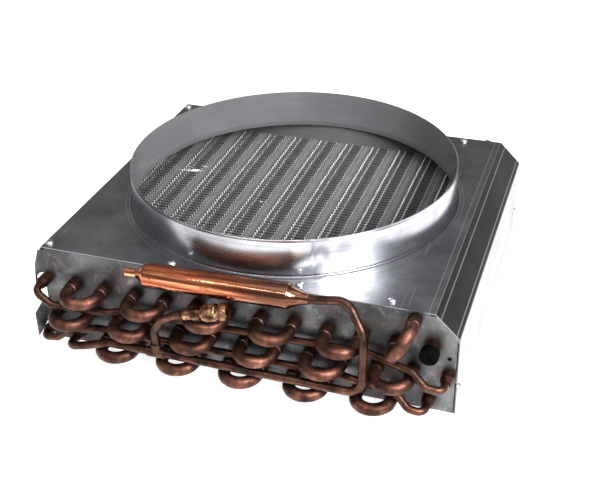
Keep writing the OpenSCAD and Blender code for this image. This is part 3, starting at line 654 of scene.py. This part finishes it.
# %% Fins
fin_t = 0.3
fin_pitch = 4.2
fin_first = 4.2
fin_bottom = -83.5
fin_lean = 0.25
fins_deep = casing_d - 2 * fin_first
fin_count = int(fins_deep / fin_pitch)
bm = bmesh.new()
random.seed(3)
for i in range(fin_count):
    y = fin_first + (i + 0.5) * fins_deep / fin_count
    lean = random.uniform(-fin_lean, fin_lean)
    top = [bm.verts.new((x, y + lean + fin_wave(x), fin_top)) for x in stations]
    edges = [bm.edges.new(pair) for pair in zip(top, top[1:])]
    made = bmesh.ops.extrude_edge_only(bm, edges=edges)["geom"]
    bmesh.ops.translate(bm, vec=(0, -lean, fin_bottom - fin_top),
                        verts=[g for g in made if isinstance(g, bmesh.types.BMVert)])
    faces = [g for g in made if isinstance(g, bmesh.types.BMFace)]
    bmesh.ops.solidify(bm, geom=faces, thickness=fin_t)
add_piece("fins", bm, fin_aluminium, ["fin_pack"], sharp_angle=5)

# %% [markdown]
# ## Bending tubes
#
# A tube starts as a circle of vertices. Straight lengths are extruded and bends are spun about
# the bend's centre, the way a bending machine works through a length of tube. Both ends are
# closed with a face.

# %% Bend a tube along its corners
def bend_tube(bm, corners, radius, bend, sides=20, step_deg=10):
    points = [Vector(p) for p in corners]
    u = (points[1] - points[0]).normalized()
    turn_to = Vector((0, 0, 1)).rotation_difference(u).to_matrix().to_4x4()
    ring = bmesh.ops.create_circle(bm, segments=sides, radius=radius,
                                   matrix=Matrix.Translation(points[0]) @ turn_to)
    edges = list({e for v in ring["verts"] for e in v.link_edges})
    start = edges
    here = points[0]
    for i in range(1, len(points)):
        u = (points[i] - points[i - 1]).normalized()
        last = i == len(points) - 1
        v = u if last else (points[i + 1] - points[i]).normalized()
        turn = u.angle(v)
        trim = bend * math.tan(turn / 2)
        move = points[i] - u * trim - here
        if move.length > 0.01:
            made = bmesh.ops.extrude_edge_only(bm, edges=edges)["geom"]
            bmesh.ops.translate(bm, vec=move, verts=[g for g in made if isinstance(g, bmesh.types.BMVert)])
            edges = [g for g in made if isinstance(g, bmesh.types.BMEdge)
                     and all(v2 in made for v2 in g.verts)]
        if not last:
            centre = points[i] + (v - u).normalized() * bend / math.cos(turn / 2)
            verts = list({w for e in edges for w in e.verts})
            made = bmesh.ops.spin(bm, geom=verts + edges, cent=centre, axis=u.cross(v).normalized(),
                                  angle=turn, steps=max(2, round(math.degrees(turn) / step_deg)))
            edges = [g for g in made["geom_last"] if isinstance(g, bmesh.types.BMEdge)]
            here = points[i] + v * trim
    bmesh.ops.edgeloop_fill(bm, edges=start)
    bmesh.ops.edgeloop_fill(bm, edges=edges)


# %% [markdown]
# ## Hairpins
#
# Two straight legs and a half turn make a hairpin. The half turn is bent as two quarter turns,
# whose radius is a hair's breadth less than half the pitch so that they don't run together. It
# lies behind the casing, and the legs come out in front with widened mouths, into which the
# return bends are brazed. A leg that takes a smaller tube has no mouth here: the nose that
# narrows it is a piece of its own. The inlet at row 1, k 1 has a mouth and waits for its tube.

# %% Hairpins
rear_leg = 2.5
leg_end = -5.5
hair_breadth = 0.001


def u_tube(bm, a, b, y_open, y_turn):
    side = 1 if y_turn > y_open else -1
    reach = y_turn + side * half_pitch
    corners = [(tube_x(a[1]), y_open, tube_z(a[0])), (tube_x(a[1]), reach, tube_z(a[0])),
               (tube_x(b[1]), reach, tube_z(b[0])), (tube_x(b[1]), y_open, tube_z(b[0]))]
    bend_tube(bm, corners, tube_r, half_pitch - hair_breadth, sides=24, step_deg=9)


def along_y(x, y, z):
    return Matrix.Translation((x, y, z)) @ Matrix.Rotation(math.radians(-90), 4, "X")


def tube_mouth(bm, end):
    outline = [(tube_r - 0.4, 0.3), (tube_r, 0.0), (bell_r - 0.15, -0.1), (bell_r, 0.25),
               (bell_r, bell_reach - 1.2), (tube_r, bell_reach - 0.2), (tube_r, bell_reach + 0.9)]
    turned(bm, outline, along_y(tube_x(end[1]), -bell_reach, tube_z(end[0])), steps=28)


def pairs(row, first, last):
    return [((row, k), (row, k + 2)) for k in range(first, last + 1, 4)]


rear_pairs = {"hairpins_row_1": pairs(1, 3, 23), "hairpins_row_2": pairs(2, 0, 20),
              "hairpins_row_3": pairs(3, 1, 21), "crossover_hairpins": [((1, 1), (0, 2)), ((2, 24), (3, 25))]}
plain_ends = {(1, 25), (2, 0), (3, 25), (3, 1), (3, 23)}
for name, list_of_pairs in rear_pairs.items():
    bm = bmesh.new()
    for a, b in list_of_pairs:
        u_tube(bm, a, b, leg_end, casing_d + rear_leg)
        for end in (a, b):
            if end not in plain_ends:
                tube_mouth(bm, end)
    settle(bm)
    add_piece(name, bm, bend_copper, [name])

# %% [markdown]
# ## Return bends
#
# In front, short return bends join the hairpins of each row. One more crosses from the single
# tube above down to row 1.

# %% Return bends
front_leg = 12.5
bend_end = -7.6
front_pairs = {"row_1": pairs(1, 5, 21), "row_2": pairs(2, 2, 22), "row_3": pairs(3, 3, 19)}
crossover_pair = ((0, 2), (1, 3))
for row_name, list_of_pairs in front_pairs.items():
    bm = bmesh.new()
    for a, b in list_of_pairs:
        u_tube(bm, a, b, bend_end, -front_leg)
    settle(bm)
    add_piece("return_bends_" + row_name, bm, bend_copper, ["return_bends_" + row_name])

bm = bmesh.new()
u_tube(bm, *crossover_pair, bend_end, -front_leg)
settle(bm)
add_piece("crossover_return_bend", bm, bend_copper, ["crossover_return_bend"])

# %% [markdown]
# ## Brazing rings
#
# The brazing alloy runs round each mouth and sets as an uneven bead. Each ring is turned in a
# bmesh of its own, so that its outer edge can be made wavy, and then added to the rest.

# %% Brazing rings
bead_wave = 0.25
bead = [(tube_r - 0.1, -0.9), (tube_r + 0.25, -0.75), (bell_r - 0.1, -0.1), (bell_r + 0.1, 0.5),
        (bell_r - 0.1, 0.9), (tube_r - 0.1, 0.9)]
bent_ends = [end for list_of_pairs in front_pairs.values() for pair in list_of_pairs for end in pair]
bm = bmesh.new()
for end in bent_ends + list(crossover_pair):
    ring = bmesh.new()
    turned(ring, bead + bead[:1], Matrix.Identity(4), steps=20)
    settle(ring)
    for v in ring.verts:
        v.co.z += bead_wave * math.sin(2 * math.atan2(v.co.y, v.co.x) + end[1]) * (v.co.z < 0)
    bmesh.ops.transform(ring, matrix=along_y(tube_x(end[1]), -bell_reach, tube_z(end[0])), verts=ring.verts)
    spare = bpy.data.meshes.new("ring")
    ring.to_mesh(spare)
    ring.free()
    bm.from_mesh(spare)
    bpy.data.meshes.remove(spare)
add_piece("braze_rings", bm, braze_alloy, ["braze_rings"], sharp_angle=60)

# %% [markdown]
# ## Pipework in front
#
# The two jumper tubes, the liquid line and the process tube were bent by hand, so their routes
# are lists of corners. A corner is given from the tube grid wherever the tube has to meet it.

# %% Places in front
line_r = 3.175
jumper_r = 3.0
inserted_y = -6.0
run_y = -22
run_z = below_row(2) + 0.2
tee_x = tube_x(17)
riser_x = tube_x(4.4)
riser_y = -24
valve_tilt = math.radians(16.5)
valve_axis = Vector((math.cos(valve_tilt), 0, math.sin(valve_tilt)))
valve_base = Vector((tee_x + 27.5, -25, tube_z(1) + 9))
drier_tilt = math.radians(1.6)
drier_axis = Vector((math.cos(drier_tilt), 0, math.sin(drier_tilt)))
drier_right = Vector((riser_x - 42.2, -12.5, 3.6))
print("tee at", round(tee_x, 1), "riser at", round(riser_x, 1))

# %% [markdown]
# Each route runs from one end of a tube to the other, and its last number is the radius that its
# corners are bent to. The jumper tubes lead from one side of the coil to the other, behind the
# bends. The outlet, the tee, the riser and the drier follow one another, and the process tube
# climbs from the tee to the access valve.

# %% Routes of the small tubes
def mouth(end, y):
    return (tube_x(end[1]), y, tube_z(end[0]))


upper_way = [
    mouth((1, 25), inserted_y), mouth((1, 25), -17.5),
    (tube_x(25) + 13, -17.5, below_row(1) + 0.5), (tube_x(25) + 57, -11, below_row(1) - 2.4),
    (tube_x(25) + 70, -7, below_row(1) - 1.5), (tube_x(4.5), -5.5, below_row(1) + 1),
    (tube_x(1.8), -14, below_row(1) - 2), (tube_x(0.95), -18.5, tube_z(2) + 1),
    mouth((2, 0), -18.5), mouth((2, 0), inserted_y)]
lower_way = [
    mouth((3, 25), inserted_y), mouth((3, 25), -16),
    (tube_x(25) + 13, -16, tube_z(3) + 2), (tube_x(25) + 23, -13, below_row(2) - 2),
    (tube_x(25) + 44, -6.8, below_row(2) - 0.5), (tube_x(6), -6.8, below_row(2) - 0.5),
    (tube_x(2.6), -14, below_row(2) - 2.3), (tube_x(1.9), -18, tube_z(3) + 1.5),
    mouth((3, 1), -19), mouth((3, 1), inserted_y)]
outlet_way = [
    mouth((3, 23), inserted_y), mouth((3, 23), -21.5),
    (tube_x(23) + 14, run_y - 1, tube_z(3) + 4.5), (tube_x(23) + 37, run_y, run_z),
    (tee_x - 2, run_y, run_z)]
liquid_way = [
    (tee_x + 2, run_y, run_z), (riser_x, riser_y, run_z), (riser_x, riser_y + 1, -12),
    (riser_x - 14, -13.5, 8.5), drier_right + 5 * drier_axis, drier_right - 8 * drier_axis]
process_way = [
    (tee_x, run_y, run_z + 4), (tee_x, run_y, run_z + 10.5), (tee_x + 0.5, -23.5, below_row(1)),
    (tee_x + 8, -24.5, tube_z(1)), valve_base - 9 * valve_axis, valve_base + 4.5 * valve_axis]
small_tubes = [
    ("jumper_tube_upper", upper_way, jumper_r, 6), ("jumper_tube_lower", lower_way, jumper_r, 6),
    ("outlet_tube", outlet_way, line_r, 8), ("liquid_line", liquid_way, line_r, 13),
    ("process_tube", process_way, line_r, 8)]
for name, way, radius, bend in small_tubes:
    bm = bmesh.new()
    bend_tube(bm, way, radius, bend, sides=20, step_deg=8)
    settle(bm)
    add_piece(name, bm, line_copper, [name])

# %% [markdown]
# ## Filter drier
#
# The drier is a copper tube whose ends were spun down to a small tube, which leaves rounded
# shoulders. It is turned from its left stub, over the shell, to its long right neck, with
# heights measured from the stub's end.

# %% Filter drier
drier_r = 9.525
drier_l = 108
cone = 8
neck = 9
stub = 8
total = drier_l + 2 * cone + neck + stub
shell_start = stub + cone
shell_end = shell_start + drier_l
neck_start = shell_end + cone
left_shoulder = [
    (line_r - 0.7, 6), (line_r - 0.7, 0), (line_r, 0), (line_r, stub - 0.5), (line_r + 0.3, stub + 0.5),
    (line_r + 1.2, stub + 2.2), (line_r + 3.4, shell_start - 3.2), (drier_r - 0.9, shell_start - 0.7),
    (drier_r - 0.3, shell_start + 0.1), (drier_r, shell_start + 1.2)]
right_shoulder = [
    (drier_r, shell_end + 1.8), (drier_r - 0.3, shell_end + 2.6), (drier_r - 0.9, shell_end + 3.2),
    (line_r + 4.2, shell_end + 5.2), (line_r + 2.9, neck_start + 0.2), (line_r + 1.8, neck_start + 3.2),
    (line_r + 1.2, neck_start + 6), (line_r + 1.1, total - 1.2), (line_r + 0.7, total),
    (line_r - 0.1, total - 0.1)]
place = (Matrix.Translation(drier_right - drier_axis * total)
         @ Matrix.Rotation(math.pi / 2 - drier_tilt, 4, "Y"))
bm = bmesh.new()
turned(bm, left_shoulder + right_shoulder, place, steps=48)
settle(bm)
add_piece("drier_shell", bm, drier_copper, ["drier_shell"])

# %% [markdown]
# ## Access valve
#
# The valve body is turned from hexagonal brass bar: a socket for the process tube, the hexagon
# that a spanner holds, and the thread's sleeve.

# %% Access valve body
hexagon_r, hexagon_h, hexagon_mid = 5.48, 6, 10
valve_place = Matrix.Translation(valve_base) @ Matrix.Rotation(math.pi / 2 - valve_tilt, 4, "Y")
bm = bmesh.new()
turned(bm, [(3.2, 0), (4.2, 0), (4.2, 7), (3.0, 7.2)], valve_place, steps=32)
bmesh.ops.create_cone(bm, segments=6, radius1=hexagon_r, radius2=hexagon_r, depth=hexagon_h, cap_ends=True,
                      matrix=valve_place @ Matrix.Translation((0, 0, hexagon_mid)))
sleeve = [(3.0, 12.8), (3.5, 13), (3.5, 15.2), (4.3, 15.2), (4.3, 26.2), (2.9, 28.2), (2.3, 28.2), (2.3, 20)]
turned(bm, sleeve, valve_place, steps=32)
settle(bm)
add_piece("access_valve_body", bm, turned_brass, ["access_valve_body"])

# %% [markdown]
# Its cap has a knurled grip, a groove and a knurled end. The knurls come from pushing every
# other column of vertices in.

# %% Valve cap
cap_start = 15.8
cap_l = 19.5
cap_r = 6.4
knurls = 54
knurl_depth = 0.22
cap_outline = [
    (4.7, 12), (4.7, 0.3), (5.0, 0), (cap_r - 0.5, 0), (cap_r - 0.4, 1.4), (cap_r, 1.7), (cap_r, 10.4),
    (cap_r - 0.7, 11.2), (cap_r - 0.7, 12.9), (cap_r, 13.6), (cap_r, cap_l - 3.2),
    (cap_r - 0.8, cap_l - 1.2), (cap_r - 2.4, cap_l), (0, cap_l)]


def knurl(radius, height, angle):
    column = round(angle / math.tau * 2 * knurls) % 2
    gripped = radius > cap_r - 0.2 and (1.5 < height < 10.8 or 13 < height < cap_l - 2)
    return 1 - knurl_depth / radius if column and gripped else 1.0


bm = bmesh.new()
turned(bm, cap_outline, valve_place @ Matrix.Translation((0, 0, cap_start)), knurls * 2, knurl)
settle(bm)
add_piece("valve_cap", bm, turned_brass, ["valve_cap"], body="cap")

# %% [markdown]
# ## Rubber cap
#
# A soft cup closes the inlet until the condenser is fitted. Its face has a small dimple with a
# rounded edge, left by the moulding.

# %% Rubber cap
cup_y = -bell_reach - 3.8
cup_r, cup_l = 6.9, 7
cup_outline = [
    (0, 1.4), (1.3, 1.35), (1.6, 0.9), (1.8, 0.15), (2.3, 0), (cup_r - 0.8, 0), (cup_r - 0.2, 0.4),
    (cup_r, 1.1), (cup_r, cup_l - 0.3), (cup_r - 0.25, cup_l), (bell_r + 0.3, cup_l), (bell_r + 0.3, 3.5),
    (0, 3.5)]
bm = bmesh.new()
turned(bm, cup_outline, along_y(tube_x(1), cup_y, tube_z(1)), steps=48)
settle(bm)
add_piece("inlet_cap", bm, moulded_rubber, ["inlet_cap"], body="inlet_cap")

# %% [markdown]
# ## Screws
#
# The shroud is held by pan head screws with a cross recess. The recess is a pit in the outline
# that is pulled out to four arms.

# %% Screws
screw_outline = [
    (0, 1.1), (0.8, 1.15), (1.0, 2.08), (1.9, 1.95), (2.7, 1.45), (3.15, 0.8), (3.3, 0.2), (3.3, 0), (1.6, 0),
    (1.6, -4.6), (0, -5.9)]
screw_inset = 7
screw_xs = [5.3, collar_mid.x - 51, collar_mid.x + 49, casing_w - slope_w - 32.4]
screw_ys = [screw_inset, casing_d - screw_inset]


def cross_recess(radius, height, angle):
    if radius < 1.1 and height > 1.0:
        return 0.5 + 1.1 * abs(math.cos(2 * angle)) ** 3
    return 1.0


bm = bmesh.new()
for x in screw_xs:
    for y in screw_ys:
        turned(bm, screw_outline, Matrix.Translation((x, y, 0)), 32, cross_recess)
settle(bm)
add_piece("top_screws", bm, zinc_screw, ["top_screws"])

bm = bmesh.new()
for y in screw_ys:
    place = Matrix.Translation((casing_w, y, tube_z(3) + 8.5)) @ Matrix.Rotation(math.pi / 2, 4, "Y")
    turned(bm, screw_outline, place, 32, cross_recess)
settle(bm)
add_piece("side_screws", bm, zinc_screw, ["side_screws"])

# %% [markdown]
# ## Camera
#
# The camera stands where the photographer stood: in front, to the right and above. Its angles,
# place and focal length were solved from the casing's right angles and the tubes' even spacing.

# %% Camera
yaw, pitch, roll = -0.33, 0.543, -0.019
photo_width = 600
focal_pixels = 1045.69
sensor = 36
eye = (Vector((409.804, -581.577, 413.464)) + corner) * MM
forward = Vector((math.sin(yaw) * math.cos(pitch), math.cos(yaw) * math.cos(pitch), -math.sin(pitch)))
right_level = Vector((math.cos(yaw), -math.sin(yaw), 0))
up_level = right_level.cross(forward)
right = right_level * math.cos(roll) + up_level * math.sin(roll)
up = -right_level * math.sin(roll) + up_level * math.cos(roll)
camera_data = bpy.data.cameras.new("camera")
camera_data.sensor_width = sensor
camera_data.lens = sensor * focal_pixels / photo_width
camera = bpy.data.objects.new("camera", camera_data)
camera.matrix_world = Matrix.Translation(eye) @ Matrix((right, up, -forward)).transposed().to_4x4()
bpy.context.scene.collection.objects.link(camera)
bpy.context.scene.camera = camera
print("focal length", round(camera_data.lens, 1), "mm")

# %% [markdown]
# ## Backdrop
#
# The camera sees plain white. The metal sees a studio: white at the horizon, grey walls higher
# up and white overhead, brighter on the camera's side than behind the condenser. That contrast
# is what makes bare metal look like metal.

# %% World
scene = bpy.context.scene
scene.view_settings.view_transform = "Standard"
studio_side = (0.2, -0.95, 0.1)
far_strength, near_strength = 0.5, 1.7
world = bpy.data.worlds.new("studio")
scene.world = world
world.use_nodes = True
tree = world.node_tree
tree.nodes.clear()
ray = add_node(tree, "LightPath", {})
sky = add_node(tree, "TexCoord", {})["Generated"]
height = add_node(tree, "SeparateXYZ", {0: sky})["Z"]
grey = add_node(tree, "ValToRGB", {"Fac": height}, [
    (0.0, "#FFFFFF"), (0.06, "#D8D8D8"), (0.22, "#848484"), (0.5, "#A6A6A6"), (0.8, "#E8E8E8"),
    (1.0, "#FFFFFF")])["Color"]
towards = add_node(tree, "VectorMath", {0: sky, 1: studio_side}, operation="DOT_PRODUCT")["Value"]
amount = add_node(tree, "MapRange", {"Value": towards, "From Min": -1.0, "To Min": far_strength,
                                     "To Max": near_strength})[0]
lit = add_node(tree, "Background", {"Color": grey, "Strength": amount})[0]
white = add_node(tree, "Background", {"Color": "#FFFFFF", "Strength": 1.0})[0]
mix = add_node(tree, "MixShader", {0: ray["Is Camera Ray"], 1: lit, 2: white})[0]
add_node(tree, "OutputWorld", {0: mix})
print(world.name, len(tree.nodes), "nodes")

# %% [markdown]
# The floor is pale and matt, so it takes the condenser's shadow. The camera and the metal's
# reflections also see it glow a little, which makes it as white as the backdrop without any more
# light on the object.

# %% Floor
floor_size = 3
floor_gap = 0.0003
floor_glow = 0.8
bm = bmesh.new()
bmesh.ops.create_grid(bm, x_segments=1, y_segments=1, size=floor_size)
mesh = bpy.data.meshes.new("floor")
bm.to_mesh(mesh)
bm.free()
floor = bpy.data.objects.new("floor", mesh)
floor.location = (0, 0, -casing_h * MM - floor_gap)
scene.collection.objects.link(floor)
material, tree, shader, place = new_finish("pale_floor", 0.0, 0.7)
shader.inputs["Base Color"].default_value = linear("#DADADA")
ray = add_node(tree, "LightPath", {})
seen = add_node(tree, "Math", {0: ray["Is Camera Ray"], 1: ray["Is Glossy Ray"]}, operation="ADD")[0]
sockets = {0: seen, 1: ray["Is Transmission Ray"]}
seen = add_node(tree, "Math", sockets, operation="ADD", use_clamp=True)[0]
strength = add_node(tree, "Math", {0: seen, 1: floor_glow}, operation="MULTIPLY")[0]
glow = add_node(tree, "Emission", {"Strength": strength})[0]
both = add_node(tree, "AddShader", {0: shader.outputs[0], 1: glow})[0]
tree.links.new(both, tree.nodes["Material Output"].inputs["Surface"])
mesh.materials.append(material)
print("floor", 2 * floor_size, "m across")

# %% [markdown]
# ## Lamps
#
# The key lamp stands in front on the right, so low that its light reaches the camera by way of
# the panel and the collar together: that gives the two white patches by the collar's foot. A
# thin strip in front draws a line along the copper, a weak lamp lights the right side, and a
# large one overhead fills the shadows.

# %% Lamps
def area_lamp(name, place, aim, size, watts):
    data = bpy.data.lights.new(name, "AREA")
    data.shape = "RECTANGLE"
    data.size, data.size_y = size
    data.energy = watts
    lamp = bpy.data.objects.new(name, data)
    lamp.location = place
    lamp.rotation_euler = (Vector(aim) - Vector(place)).to_track_quat("-Z", "Y").to_euler()
    scene.collection.objects.link(lamp)
    print(name, "lamp", watts, "W")


area_lamp("key", (0.85, -0.64, 0.68), (0.05, -0.05, 0), (0.65, 0.42), 34)
area_lamp("strip", (0.0, -0.95, 0.95), (0, 0, 0), (1.1, 0.06), 5)
area_lamp("side", (1.05, -0.08, 0.8), (0.05, -0.05, 0), (0.7, 0.6), 1.0)
area_lamp("top", (0.4, -0.25, 1.5), (0, 0, 0), (1.3, 1.0), 13)
